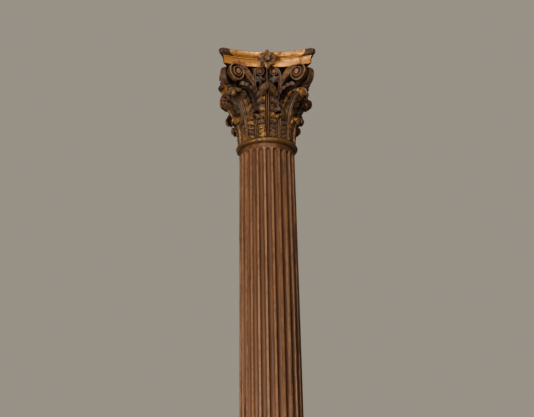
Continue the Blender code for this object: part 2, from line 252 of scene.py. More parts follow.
# gold leaf that has gone from part of the surface
def buildGiltGroup():
    tree, start, end = newGroup(
        "oldGilding",
        [("Kept", "NodeSocketFloat", 0.5), ("Patch scale", "NodeSocketFloat", 40.0)],
        [("Leaf", "NodeSocketFloat"), ("Mottle", "NodeSocketFloat"), ("Height", "NodeSocketFloat")])
    place = addNode(tree, "ShaderNodeTexCoord").outputs["Object"]
    patchy = addNode(tree, "ShaderNodeTexNoise", Detail=6.0, Roughness=0.7)
    tree.links.new(place, patchy.inputs["Vector"])
    tree.links.new(start.outputs["Patch scale"], patchy.inputs["Scale"])
    edge = mathNode(tree, "SUBTRACT", 1.0, start.outputs["Kept"])
    above = mathNode(tree, "SUBTRACT", patchy.outputs["Fac"],
                     spread(tree, edge, 0.0, 1.0, 0.25, 0.75))
    leaf = spread(tree, above, -0.03, 0.05)
    mottle = noiseOf(tree, place, 160.0, 4.0, 0.6)
    height = mathNode(tree, "ADD", leaf, mathNode(tree, "MULTIPLY", mottle, 0.4))
    return linkOutputs(tree, end, Leaf=leaf, Mottle=mottle, Height=height)


grainGroup = buildGrainGroup()
wearAndShadeGroup = buildWearAndShadeGroup()
giltGroup = buildGiltGroup()


def placeGroup(tree, group, **values):
    node = tree.nodes.new("ShaderNodeGroup")
    node.node_tree = group
    for label, value in values.items():
        node.inputs[label.replace("_", " ")].default_value = value
    return node


def startMaterial(name, bump):
    mat = bpy.data.materials.new(name)
    mat.use_nodes = True
    tree = mat.node_tree
    shader = tree.nodes["Principled BSDF"]
    relief = addNode(tree, "ShaderNodeBump", Strength=1.0, Distance=bump)
    tree.links.new(relief.outputs["Normal"], shader.inputs["Normal"])
    return mat, tree, shader, relief


def grainWearAndShade(tree, look):
    grain = placeGroup(tree, grainGroup, Fineness=look["fineness"], Crack_amount=look["cracks"])
    wear = placeGroup(tree, wearAndShadeGroup, Rub_from=look["rubFrom"], Rub_to=look["rubTo"],
                      Dirt_reach=look["shadeAndDirtReach"], Breakup=look["breakup"])
    wood = mixColor(tree, grain.outputs["Streak"], look["dark"], look["mid"])
    wood = mixColor(tree, mathNode(tree, "MULTIPLY", grain.outputs["Patch"], 0.6), wood, look["warm"])
    return grain.outputs, wear.outputs, wood


# rubbed heights take the worn colour; hollows under the occlusion mask take the dark colour as dirt and
# painted shade, and the cracks take the same dark colour
def ageAndShadeColor(tree, color, grain, wear, look):
    rubbed = mathNode(tree, "MULTIPLY", wear["Rubbed"], look["rubbing"])
    shadeDirtMask = mathNode(tree, "MULTIPLY", wear["Dirty"], look["shadeAndDirtAmount"])
    for mask, over in ((rubbed, "worn"), (shadeDirtMask, "grimeAndShade"), (grain["Crack"], "grimeAndShade")):
        color = mixColor(tree, mask, color, look[over])
    return color


def woodMaterial(name, look):
    mat, tree, shader, relief = startMaterial(name, look["bump"])
    grain, wear, wood = grainWearAndShade(tree, look)
    tree.links.new(ageAndShadeColor(tree, wood, grain, wear, look), shader.inputs["Base Color"])
    rough = spread(tree, grain["Streak"], 0.0, 1.0, look["rough"] + 0.12, look["rough"] - 0.05)
    tree.links.new(rough, shader.inputs["Roughness"])
    tree.links.new(grain["Height"], relief.inputs["Height"])
    return mat


def giltMaterial(name, look):
    mat, tree, shader, relief = startMaterial(name, look["bump"])
    gilt = placeGroup(tree, giltGroup, Kept=look["kept"], Patch_scale=look["patchScale"])
    grain, wear, wood = grainWearAndShade(tree, look)
    leafMask = gilt.outputs["Leaf"]
    if look["leafByTone"]:                                  # leaf kept on the heights alone
        leafMask = mathNode(tree, "MULTIPLY", leafMask, spread(tree, wear["Tone"], *look["leafByTone"]))
    metal = mixColor(tree, gilt.outputs["Mottle"], look["gold"], look["goldLight"])
    color = ageAndShadeColor(tree, mixColor(tree, leafMask, wood, metal), grain, wear, look)
    tree.links.new(color, shader.inputs["Base Color"])
    # the leaf shines less where the occlusion mask paints shade and dirt
    clearOfShadeAndDirt = mathNode(tree, "SUBTRACT", 1.0, wear["Dirty"])
    shine = mathNode(tree, "MULTIPLY", leafMask, clearOfShadeAndDirt)
    tree.links.new(mathNode(tree, "MULTIPLY", shine, look["metal"]), shader.inputs["Metallic"])
    rough = spread(tree, shine, 0.0, 1.0, look["rough"] + 0.15, look["rough"])
    tree.links.new(rough, shader.inputs["Roughness"])
    uneven = mathNode(tree, "ADD", gilt.outputs["Height"], grain["Height"])
    tree.links.new(uneven, relief.inputs["Height"])
    return mat


# in each look the darkest colour, with its strength and reach, darkens the hollows as dirt and painted
# shade; the cracks take the same colour
shaftLook = dict(dark=(0.026, 0.009, 0.005), mid=(0.128, 0.051, 0.019), warm=(0.175, 0.062, 0.020),
                 worn=(0.285, 0.148, 0.068), grimeAndShade=(0.009, 0.004, 0.003), rubFrom=0.62, rubTo=1.0,
                 rubbing=0.85, shadeAndDirtAmount=0.92, shadeAndDirtReach=0.014, breakup=45.0, fineness=1.0, cracks=1.0,
                 rough=0.50, bump=0.0012)
plinthLook = dict(shaftLook, cracks=0.7, rubbing=0.6, bump=0.0008)
carvedLook = dict(dark=(0.020, 0.009, 0.005), mid=(0.090, 0.040, 0.019), warm=(0.075, 0.048, 0.022),
                  gold=(0.20, 0.098, 0.026), goldLight=(0.46, 0.240, 0.062), worn=(0.38, 0.200, 0.125),
                  grimeAndShade=(0.008, 0.004, 0.003), kept=0.47, patchScale=26.0, leafByTone=(0.36, 0.62),
                  rubFrom=0.72, rubTo=1.02, rubbing=0.75, shadeAndDirtAmount=0.96, shadeAndDirtReach=0.030, breakup=90.0,
                  fineness=1.3, cracks=0.5, metal=0.6, rough=0.30, bump=0.0013)
scrollLook = dict(carvedLook, mid=(0.125, 0.056, 0.030), gold=(0.17, 0.085, 0.04), worn=(0.33, 0.17, 0.105),
                  kept=0.38, rubFrom=0.66, rubTo=1.0, rubbing=0.85, shadeAndDirtReach=0.018, metal=0.3)
# the cup leaves and buds get a purple-grey copy of the carved wood, darkened further as painted shade for
# their place under the scrolls
cupLook = dict(carvedLook, mid=(0.070, 0.036, 0.027), warm=(0.05, 0.030, 0.024), gold=(0.10, 0.058, 0.032),
               worn=(0.125, 0.074, 0.058), kept=0.28, rubFrom=0.72, rubTo=1.05)
collarLook = dict(carvedLook, dark=(0.045, 0.022, 0.010), mid=(0.130, 0.064, 0.028),
                  gold=(0.21, 0.115, 0.042), goldLight=(0.34, 0.19, 0.07), kept=0.58,
                  leafByTone=None, worn=(0.42, 0.27, 0.14), rubFrom=0.95, rubTo=1.25, shadeAndDirtAmount=0.8,
                  shadeAndDirtReach=0.012)
goldLook = dict(carvedLook, dark=(0.11, 0.040, 0.014), mid=(0.30, 0.120, 0.036), warm=(0.24, 0.08, 0.024),
                gold=(0.62, 0.270, 0.060), goldLight=(0.88, 0.440, 0.120), worn=(0.85, 0.66, 0.46),
                kept=0.66, leafByTone=None, rubFrom=0.92, rubTo=1.18, rubbing=0.85, shadeAndDirtAmount=0.95,
                shadeAndDirtReach=0.026, patchScale=24.0, metal=0.62, rough=0.36, bump=0.0006)
flowerLook = dict(scrollLook, dark=(0.020, 0.009, 0.006), mid=(0.070, 0.032, 0.020),
                  gold=(0.11, 0.055, 0.03), worn=(0.22, 0.120, 0.090), rubFrom=0.74, rubTo=1.05,
                  shadeAndDirtReach=0.014)
cornerLook = dict(carvedLook, kept=0.26, shadeAndDirtReach=0.02, rubFrom=0.85, rubTo=1.2)

shaftWood = woodMaterial("shaftWood", shaftLook)
plinthWood = woodMaterial("plinthWood", plinthLook)
carvedWood = giltMaterial("carvedWood", carvedLook)
scrollWood = giltMaterial("scrollWood", scrollLook)
cupWood = giltMaterial("cupWood", cupLook)
collarGilt = giltMaterial("collarGilt", collarLook)
abacusGilt = giltMaterial("abacusGilt", goldLook)
flowerWood = giltMaterial("flowerWood", flowerLook)
cornerWood = giltMaterial("cornerWood", cornerLook)
print("materials ready")


# plinth: a square block with rounded, dented edges
plinthShape = {"rows": 14, "perSide": 40, "round": 0.003, "dent": 0.0009}


def squareRing(half, corner, perSide, z):
    flat = np.linspace(-half + corner, half - corner, perSide)
    side = np.stack([flat, np.full(perSide, -half), np.full(perSide, z)], axis=1)
    turn = np.linspace(0, pi / 2, 5)[1:-1]
    bend = np.stack([half - corner + corner * np.sin(turn), -half + corner - corner * np.cos(turn),
                     np.full(3, z)], axis=1)
    quarter = np.concatenate([side, bend])
    return np.concatenate([turnGrid(quarter, k * pi / 2) for k in range(4)])


def buildPlinth():
    s = plinthShape
    half, edge = plinthHigh[0], s["round"]
    steps = [(plinthLow[2], edge), (plinthLow[2] + edge * 0.3, edge * 0.3), (plinthLow[2] + edge, 0.0)]
    steps += [(z, 0.0) for z in np.linspace(plinthLow[2] + edge, plinthHigh[2] - edge, s["rows"])[1:-1]]
    steps += [(plinthHigh[2] - edge, 0.0), (plinthHigh[2] - edge * 0.3, edge * 0.3), (plinthHigh[2], edge)]
    grid = np.array([squareRing(half - inset, edge, s["perSide"], z) for z, inset in steps])
    dents = np.clip(ripple(grid, 0.05, 3) - 0.35, 0, 1) * s["dent"]
    edgeNear = np.array([1.0 if inset > 0 else 0.35 for z, inset in steps])[:, None]
    grid -= outwardFrom(grid) * (dents * edgeNear)[..., None]
    tone = 0.45 + 0.45 * edgeNear * np.ones(grid.shape[:2])
    store = newStore()
    addShell(store, grid, tone)
    piece = finishMesh("plinthBlock", store, [plinthWood])
    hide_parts("plinth")


# turned pieces: a profile from the bottom up, as radius and height
def turnedGrid(profile, steps):
    profile = np.array(profile)
    angle = np.linspace(0, 2 * pi, steps, endpoint=False)
    x = profile[:, :1] * np.cos(angle)
    y = profile[:, :1] * np.sin(angle)
    return np.stack([x, y, np.repeat(profile[:, 1:], steps, axis=1)], axis=-1)


def archPoints(radius, low, high, count):
    half, mid = (high - low) / 2, (high + low) / 2
    swing = np.linspace(-pi / 2, pi / 2, count)
    return [(radius - half + half * cos(a), mid + half * sin(a)) for a in swing]


baseShape = {"steps": 160, "apophyge": 0.007, "dent": 0.0010}


def buildBase():
    low, high = baseLow[2], baseHigh[2]
    height = high - low
    outer = baseHigh[0]
    foot = shaftHigh[0]
    upper = foot + (outer - foot) * 0.55
    hollow = foot + (outer - foot) * 0.20
    level = [low + height * s for s in (0.0, 0.36, 0.42, 0.64, 0.70, 0.94)]
    ledge = outer - height * 0.14
    neck = upper - height * 0.11
    profile = [(outer - height * 0.20, low)] + archPoints(outer, level[0], level[1], 15)
    profile += [(ledge, level[1]), (ledge, level[2])]
    for i in range(1, 12):
        share = 1 - i / 12
        rim = neck + (ledge - neck) * share
        profile.append((rim - (rim - hollow) * sin(pi * share), level[3] + (level[2] - level[3]) * share))
    profile += [(neck, level[3]), (neck, level[4])]
    profile += archPoints(upper, level[4], level[5], 13)
    profile += [(foot, level[5]), (foot, high)]
    grid = turnedGrid(profile, baseShape["steps"])
    dents = np.clip(ripple(grid, 0.045, 8) - 0.3, 0, 1) * baseShape["dent"]
    grid[..., :2] *= (1 - dents / outer)[..., None]
    radius = np.array(profile)[:, 0]
    tone = np.interp(radius, [hollow, neck, upper, outer], [0.2, 0.5, 0.85, 0.95])[:, None]
    store = newStore()
    addShell(store, grid, tone * np.ones(grid.shape[:2]))
    piece = finishMesh("baseTurned", store, [shaftWood])
    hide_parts("base")


# shaft: round hollows between narrow worn fillets, with round ends and a plain band at each end
shaftShape = {"flutes": 24, "depth": 0.0085, "share": 0.76, "band": 0.019, "apophyge": 0.007,
              "topRadius": 0.1045, "swell": 1.5, "perFlute": 12, "rows": 250, "wear": 0.0010}


def buildShaft():
    s = shaftShape
    low, high = shaftLow[2], shaftHigh[2]
    footRadius = shaftHigh[0] - s["apophyge"]
    flutes, per = s["flutes"], s["perFlute"]
    bow = s["topRadius"] * pi / flutes * s["share"]
    footFlute, headFlute = low + s["band"] * 1.6, high - s["band"]
    rise = np.sin(np.linspace(0, pi / 2, 9)) ** 1.2 * bow
    rows = [low, low + s["band"] * 0.6, low + s["band"] * 0.8, low + s["band"]]
    rows += list(footFlute + rise) + list(np.linspace(footFlute + bow, headFlute - bow, s["rows"])[1:-1])
    rows += list(headFlute - rise[::-1]) + [high - s["band"] * 0.5, high]
    z = np.array(rows)[:, None]
    share = np.clip((z - low) / (high - low), 0, 1)
    radius = footRadius - (footRadius - s["topRadius"]) * share ** s["swell"]
    flare = np.clip((low + s["band"] - z) / (s["band"] * 0.4), 0, 1)
    radius = radius + s["apophyge"] * (0.2 + 0.8 * flare) * (z < footFlute - 0.001)
    near = np.minimum(z - footFlute, headFlute - z)
    opening = np.sqrt(np.clip(1 - (1 - np.clip(near / bow, 0, 1)) ** 2, 0, 1))
    column = np.arange(flutes * per)
    across = ((column % per) - (per - 2) / 2) / ((per - 2) / 2)     # the last point lies on the fillet
    flute = column // per
    pitch = 2 * pi / flutes
    half = pitch * s["share"] / 2 * np.maximum(opening, 0.04)
    angle = flute * pitch + np.where(across > 1.0, pitch / 2, np.clip(across, -1, 1) * half)
    hollow = np.sqrt(np.clip(1 - np.clip(across, -1, 1) ** 2, 0, 1)) * opening
    grid = np.stack([radius * np.cos(angle), radius * np.sin(angle), z + 0 * angle], axis=-1)
    stretch = (1.0, 1.0, 0.18)
    chips = np.clip(ripple(grid, 0.020, 21, stretch) - 0.25, 0, 1) * (1 - hollow) * opening
    sway = ripple(grid, 0.012, 5, (1.0, 1.0, 0.08)) * 0.25
    depth = hollow * s["depth"] + s["wear"] * (1.6 * chips + sway)
    plain = 1 - depth / radius
    grid[..., 0] *= plain
    grid[..., 1] *= plain
    tone = 0.40 + 0.55 * (1 - hollow) - 0.15 * hollow + 0.12 * ripple(grid, 0.05, 9, stretch)
    tone = np.where(opening + 0 * hollow < 0.02, 0.62, tone)
    store = newStore()
    addShell(store, grid, tone)
    piece = finishMesh("shaftCarved", store, [shaftWood], 60)
    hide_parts("shaft")


# collar: a rounded, dented ring, lighter where it stands out furthest
collarShape = {"steps": 200, "dent": 0.0012}


def buildCollar():
    low, high, outer = collarLow[2], collarHigh[2], collarHigh[0]
    inner = shaftShape["topRadius"] - 0.004
    profile = [(inner, low)] + archPoints(outer, low + 0.0016, high - 0.0012, 17) + [(inner + 0.004, high)]
    grid = turnedGrid(profile, collarShape["steps"])
    dents = np.clip(ripple(grid, 0.022, 12) - 0.15, 0, 1) * collarShape["dent"]
    grid[..., :2] *= (1 - dents / outer)[..., None]
    tone = np.interp(np.array(profile)[:, 0], [inner, outer - 0.006, outer], [0.1, 0.5, 0.85])[:, None]
    tone = tone + 0.15 * ripple(grid, 0.03, 14)
    store = newStore()
    addShell(store, grid, tone)
    piece = finishMesh("collarRing", store, [collarGilt])
    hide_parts("astragal")


# what the abacus and the capital under it share
abacusShape = {"horn": 0.170, "hollow": 0.038, "corbel": 0.018, "perSide": 104, "perCorner": 14,
               "dent": 0.0012, "flowerDarkReach": 0.050, "lumpReach": 0.024, "lumpFrom": 0.50, "lumpDepth": 0.0042,
               "lumpPitch": 0.0135}


# capital: a bell, two rows of eight acanthus leaves, and scrolls that rise between them
capitalShape = {
    "neck": 0.100, "opensAt": 0.45, "thickness": 0.0075, "relief": 0.0050, "carverWobble": 0.0007,
    "voluteEye": 0.0092, "voluteDisc": 0.0272, "voluteMiddle": (0.0058, -0.0062), "voluteHeading": 30.0,
    "voluteTurns": [(0, 0.0262), (0.5, 0.0322), (1, 0.0335), (1.5, 0.0345), (2, 0.0350), (2.5, 0.0285),
                    (3, 0.0220), (3.5, 0.0190), (4, 0.0172), (5, 0.0188), (6, 0.0190), (7, 0.0138)],
    "helix": 0.0165, "helixTurns": 1.4,
}
# straps and cup leaf in the plane of their scroll, as shares of the capital's height
scrollRoutes = {
    "voluteOuter": [(-0.345, -0.42), (-0.284, -0.235), (-0.246, -0.130), (-0.222, -0.052), (-0.187, 0.016),
                    (-0.135, 0.070), (-0.070, 0.093)],
    "voluteInner": [(-0.338, -0.42), (-0.277, -0.262), (-0.240, -0.172), (-0.192, -0.096), (-0.141, -0.044),
                    (-0.100, -0.006), (-0.080, 0.030)],
    "helixOuter": [(-0.070, -0.30), (-0.090, -0.18), (-0.090, -0.06), (-0.062, 0.028)],
    "helixInner": [(-0.045, -0.30), (-0.062, -0.18), (-0.064, -0.07)],
    "cup": [(-0.292, -0.53), (-0.305, -0.44), (-0.293, -0.340), (-0.250, -0.252), (-0.182, -0.196),
            (-0.110, -0.165), (-0.035, -0.158)],
}
# midribs from foot to tip as shares of the capital's height: how far out from the bell, and how high
lowerLeaf = {
    "spine": [(0.012, 0.003), (0.018, 0.10), (0.028, 0.18), (0.048, 0.262), (0.076, 0.325), (0.104, 0.350),
              (0.123, 0.343), (0.133, 0.318), (0.134, 0.288)],
    "half": 0.0345, "lobes": 5.0, "fan": 0.13, "rows": 64, "flare": 0.004, "fold": 0.006, "sag": 0.006,
    "lobesFrom": 0.42, "pipes": 1,
    "outline": [(0.0, 0.80), (0.25, 0.92), (0.5, 1.0), (0.72, 0.98), (0.86, 0.80), (0.95, 0.56),
                (1.0, 0.25)],
}
sideLeaf = {
    "spine": [(0.012, 0.003), (0.014, 0.12), (0.020, 0.24), (0.042, 0.355), (0.090, 0.465), (0.146, 0.575),
              (0.186, 0.655), (0.210, 0.688), (0.234, 0.682), (0.243, 0.645), (0.236, 0.600)],
    "half": 0.0405, "lobes": 8.0, "fan": 0.085, "rows": 104, "flare": 0.006, "fold": 0.018, "sag": 0.018,
    "lobesFrom": 0.40, "pipes": 1,
    "outline": [(0.0, 0.50), (0.2, 0.66), (0.38, 0.84), (0.55, 0.86), (0.70, 0.98), (0.82, 1.0),
                (0.91, 0.86), (0.97, 0.60), (1.0, 0.25)],
}
cornerLeaf = {
    "spine": [(0.012, 0.003), (0.014, 0.12), (0.022, 0.24), (0.044, 0.343), (0.088, 0.475), (0.150, 0.590),
              (0.212, 0.652), (0.270, 0.672), (0.322, 0.655), (0.350, 0.612), (0.350, 0.560)],
    "half": 0.0375, "lobes": 9.0, "fan": 0.085, "rows": 112, "flare": 0.006, "fold": 0.006, "sag": 0.002,
    "lobesFrom": 0.66, "pipes": 3,
    "outline": [(0.0, 0.55), (0.2, 0.76), (0.36, 0.98), (0.55, 1.0), (0.70, 0.94), (0.82, 0.80),
                (0.91, 0.66), (0.97, 0.46), (1.0, 0.24)],
}
wornLeaf = dict(lowerLeaf, spine=[                          # the two in front have lost their tips
    (0.012, 0.003), (0.018, 0.10), (0.030, 0.18), (0.052, 0.252), (0.073, 0.296), (0.088, 0.312),
    (0.096, 0.302), (0.094, 0.284)])
leafColumns = {"front": 57, "back": 31}
capitalHeight = abacusLow[2] - capitalLow[2]
footZ = capitalLow[2]
bellLip = abacusHigh[0] - abacusShape["hollow"] - abacusShape["corbel"]


def bellRadius(share):
    s = capitalShape
    opening = np.maximum(np.asarray(share, float) - s["opensAt"], 0.0) / (1 - s["opensAt"])
    return s["neck"] + (bellLip - s["neck"]) * opening ** 2


def smoothLine(points, count):
    points = np.array(points, float)
    step = np.linalg.norm(np.diff(points, axis=0), axis=1) ** 0.5
    knots = np.concatenate([[0], np.cumsum(step)])
    wanted = np.linspace(0, knots[-1], count)
    padded = np.vstack([2 * points[0] - points[1], points, 2 * points[-1] - points[-2]])
    result = []
    for value in wanted:
        k = min(int(np.searchsorted(knots, value, side="right")) - 1, len(points) - 2)
        t = (value - knots[k]) / (knots[k + 1] - knots[k])
        a, b, c, d = padded[k:k + 4]
        result.append(0.5 * (2 * b + (c - a) * t + (2 * a - 5 * b + 4 * c - d) * t * t
                             + (3 * b - a - 3 * c + d) * t ** 3))
    return np.array(result)


def unitRows(vectors):
    return vectors / np.linalg.norm(vectors, axis=1, keepdims=True)


# a midrib as distance out and height, with its outward normals, at even steps of its length
def spinePath(spine):
    points = [(float(bellRadius(share)) / capitalHeight + away, share) for away, share in spine]
    line = smoothLine(points, 160)
    along = np.concatenate([[0], np.cumsum(np.linalg.norm(np.diff(line, axis=0), axis=1))])
    even = np.linspace(0, along[-1], 200)
    line = np.stack([np.interp(even, along, line[:, k]) for k in (0, 1)], axis=1) * capitalHeight
    tangent = unitRows(np.gradient(line, axis=0))
    return line, np.stack([tangent[:, 1], -tangent[:, 0]], axis=1)


def smoothStep(value, low, high):
    t = np.clip((value - low) / (high - low), 0, 1)
    return t * t * (3 - 2 * t)


# lobes with leaflets beyond start, eyes between them, side pipes and a double midrib
def acanthusRelief(phase, u, start, pipes):
    lobe = phase % 1.0
    reach = np.abs(u)
    pillow = np.sin(pi * lobe) ** 0.45
    ribs = np.abs(np.sin(3 * pi * (lobe + 0.10 * reach))) ** 0.7
    outer = smoothStep(reach, start - 0.14, start + 0.12)
    gap = np.minimum(lobe, 1 - lobe)
    eye = np.exp(-((reach - start - 0.08) / 0.11) ** 2 - (gap / 0.13) ** 2)
    midrib = np.exp(-((reach - 0.095) / 0.042) ** 2) - 0.5 * np.exp(-(reach / 0.040) ** 2)
    inner = np.clip((reach - 0.22) / max(start - 0.22, 0.1), 0, 1)
    pipe = np.sin(pi * pipes * inner) ** 2 * (1 - outer)
    valley = np.exp(-((reach - 0.19) / 0.040) ** 2)
    height = outer * (0.62 * pillow + 0.30 * ribs - 0.20)
    height = height + 0.70 * midrib + 0.40 * pipe - 0.40 * valley - 0.9 * eye
    # the tone drops in the eyes and the valleys, which deepens their painted shade
    tone = 0.36 + outer * (0.30 * pillow + 0.26 * ribs - 0.10) + 1.15 * midrib + 0.24 * pipe - 0.30 * valley
    return height, tone - 0.45 * eye, pillow, ribs


def addLeaf(store, angle, leaf, seed):
    s = capitalShape
    line, normal = spinePath(leaf["spine"])
    stations = np.linspace(0, 1, len(line))
    edge = np.linspace(0, 1, leaf["rows"])[:, None]
    fan = leaf["fan"] * smoothStep(edge, 0, 0.28) * smoothStep(1 - edge, 0, 0.30)
    outline = np.array(leaf["outline"])
    envelope = np.interp(edge, outline[:, 0], outline[:, 1]) * leaf["half"]
    phase = edge * leaf["lobes"]
    swing = np.random.default_rng(seed).uniform(-1, 1)

    def skin(u, side):
        height, tone, pillow, ribs = acanthusRelief(phase, u, leaf["lobesFrom"], leaf["pipes"])
        height = height * s["relief"]
        place = edge - fan * (1 - np.abs(u)) + 0.004 * np.sin(phase * 2 + swing * 3) * u
        place = np.clip(place, 0, 1)
        out, up = (np.interp(place, stations, line[:, k]) for k in (0, 1))
        nOut, nUp = (np.interp(place, stations, normal[:, k]) for k in (0, 1))
        curl = np.clip((1 - nOut) / 2, 0, 1)
        notch = 0.24 * smoothStep(edge, 0.02, 0.2) * (1 - pillow) ** 1.2 + 0.055 * (1 - ribs)
        offset = u * envelope * (1 - notch * np.abs(u))
        hug = np.interp(place, [0, 0.3, 0.6, 1.0], [1.0, 0.9, 0.55, 0.35])
        wrap = offset ** 2 / (2 * s["neck"]) * hug
        flare = leaf["flare"] * np.abs(u) ** 3 * pillow * smoothStep(place, 0.18, 0.40) * (1 - curl) ** 2
        if side > 0:
            push = s["thickness"] / 2 * (1 - 0.35 * u ** 2) + height
        else:
            push = -s["thickness"] / 2 * (1 - 0.35 * u ** 2) - height * smoothStep(curl, 0.25, 0.6)
        push = push + flare
        droop = 0.30 * leaf["half"] * u ** 2 * smoothStep(curl, 0.2, 0.7)
        free = smoothStep(place, 0.22, 0.55)
        radial = out + nOut * push - wrap - leaf["fold"] * u ** 2 * free
        climb = up + nUp * push - droop - leaf["sag"] * u ** 2 * free * (1 - curl)
        return np.stack([offset, -radial, climb], axis=-1), tone

    t = np.linspace(-1, 1, leafColumns["front"])[None, :]
    front, frontTone = skin(0.55 * t + 0.45 * t ** 3, 1.0)
    t = np.linspace(1, -1, leafColumns["back"])[None, :]
    back, backTone = skin(0.6 * t + 0.4 * t ** 3, -1.0)
    grid = np.concatenate([front, back], axis=1)
    tone = np.concatenate([frontTone, backTone], axis=1)
    grid[..., 2] += footZ
    grid[..., 2] = np.maximum(grid[..., 2], footZ + 0.0006)
    grid[..., 1] -= ripple(grid, 0.018, seed) * s["carverWobble"]
    grid[..., 0] += ripple(grid, 0.026, seed + 9) * s["carverWobble"]
    addShell(store, turnGrid(grid, angle), tone + 0.10 * ripple(grid, 0.02, seed + 40))


# a rounded bar that follows points in a plane, with a width at each point
def sweepBar(line, widths, front, back, sides=10):
    tangent = unitRows(np.gradient(line, axis=0))
    normal = np.stack([-tangent[:, 1], tangent[:, 0]], axis=1)
    turn = np.linspace(0, 2 * pi, sides, endpoint=False) + pi / sides
    squareness = 0.6
    across = np.sign(np.cos(turn)) * np.abs(np.cos(turn)) ** squareness
    inward = np.sign(np.sin(turn)) * np.abs(np.sin(turn)) ** squareness
    middle, deep = (front + back) / 2, (back - front) / 2
    u = line[:, :1] + normal[:, :1] * across * widths[:, None] / 2
    w = line[:, 1:] + normal[:, 1:] * across * widths[:, None] / 2
    v = np.broadcast_to(middle + deep * inward, u.shape)
    facing = np.broadcast_to(np.clip(-inward, 0, 1), u.shape)
    return np.stack([u, v, w], axis=-1), facing


def spiralLine(outer, inner, turns, steps, centre=(0.0, 0.0)):
    share = np.linspace(0, 1, steps)
    angle = pi / 2 - 2 * pi * turns * share
    radius = outer * (inner / outer) ** share
    return np.stack([centre[0] + radius * np.cos(angle), centre[1] + radius * np.sin(angle)], axis=1)


def placeInPlane(grid, matrix):
    m = np.array(matrix)
    return grid @ m[:3, :3].T + m[:3, 3]


def uprightPlane(centre, heading):
    across = Vector((cos(heading), sin(heading), 0.0))
    toward = Vector((-sin(heading), cos(heading), 0.0))
    turn = Matrix((across, toward, Vector((0, 0, 1)))).transposed().to_4x4()
    return Matrix.Translation(centre) @ turn


# a turned boss in the plane of a scroll: radius and depth from its back to its crown
def addBoss(store, place, rings, tones, steps, slot, tall=1.0):
    turn = np.linspace(0, 2 * pi, steps, endpoint=False)
    grid = np.array([np.stack([r * np.cos(turn), np.full(steps, v), r * tall * np.sin(turn)], axis=1)
                     for r, v in rings])
    addShell(store, placeInPlane(grid, place), np.array(tones)[:, None], slot)


# a sunk band between two lines of the same plane
def addWeb(store, place, outer, inner, front, back, tone, slot):
    rows = []
    for a, b in zip(outer, inner):
        cut = [a * (1 - k) + b * k for k in (0.0, 0.25, 0.5, 0.75, 1.0)]
        sink = (0.84, 0.68, 0.60, 0.68, 0.84)
        rows.append([(p[0], front * k, p[1]) for p, k in zip(cut, sink)]
                    + [(b[0], back * 0.8, b[1]), (a[0], back * 0.8, a[1])])
    addShell(store, placeInPlane(np.array(rows), place), tone, slot)


# a curve round (0, 0) from its top: quarter turns towards the corner, and how far out
def polarLine(table, steps):
    line = smoothLine(table, steps)
    angle = pi / 2 * (1 - line[:, 0])
    return np.stack([line[:, 1] * np.cos(angle), line[:, 1] * np.sin(angle)], axis=1)


def routeOf(name, size):
    return [(x * size, z * size) for x, z in scrollRoutes[name]]


# the large scroll: in its plane u runs out to the corner and w runs up
def addVolute(store, place, size, slot):
    s = capitalShape
    front, back = -size * 0.043, size * 0.043
    spiral = polarLine(s["voluteTurns"], 110)
    outerEdge = smoothLine(routeOf("voluteOuter", size) + [tuple(spiral[0])], 34)
    line = np.vstack([outerEdge[:-1], spiral])
    width = np.concatenate([np.linspace(0.0036, 0.0052, 33), np.linspace(0.0060, 0.0046, 110)])
    bar, facing = sweepBar(line, width, front, back)
    addShell(store, placeInPlane(bar, place), 0.35 + 0.6 * facing, slot)
    innerEdge = smoothLine(routeOf("voluteInner", size), 26)
    bar, facing = sweepBar(innerEdge, np.linspace(0.0028, 0.0040, 26), front * 0.95, back)
    addShell(store, placeInPlane(bar, place), 0.35 + 0.55 * facing, slot)
    addWeb(store, place, smoothLine(outerEdge, 26), smoothLine(innerEdge, 26), front, back, 0.72, slot)
    r = s["voluteDisc"]
    disc = [(r, back * 0.9), (r, front * 0.30), (r * 0.6, front * 0.34), (r * 0.42, front * 0.40)]
    addBoss(store, placeOffset(place, s["voluteMiddle"]), disc, [0.2, 0.2, 0.16, 0.16], 40, slot)
    e = s["voluteEye"]
    eye = [(e * 1.05, front * 0.3), (e * 1.04, front * 0.85), (e * 0.92, front * 1.06),
           (e * 0.55, front * 1.12), (e * 0.05, front * 1.14)]
    addBoss(store, placeOffset(place, (0.0, -0.0015)), eye, [0.3, 0.7, 0.95, 0.98, 0.98], 28, slot, 1.22)


def placeOffset(place, off):
    return place @ Matrix.Translation((off[0], 0.0, off[1]))


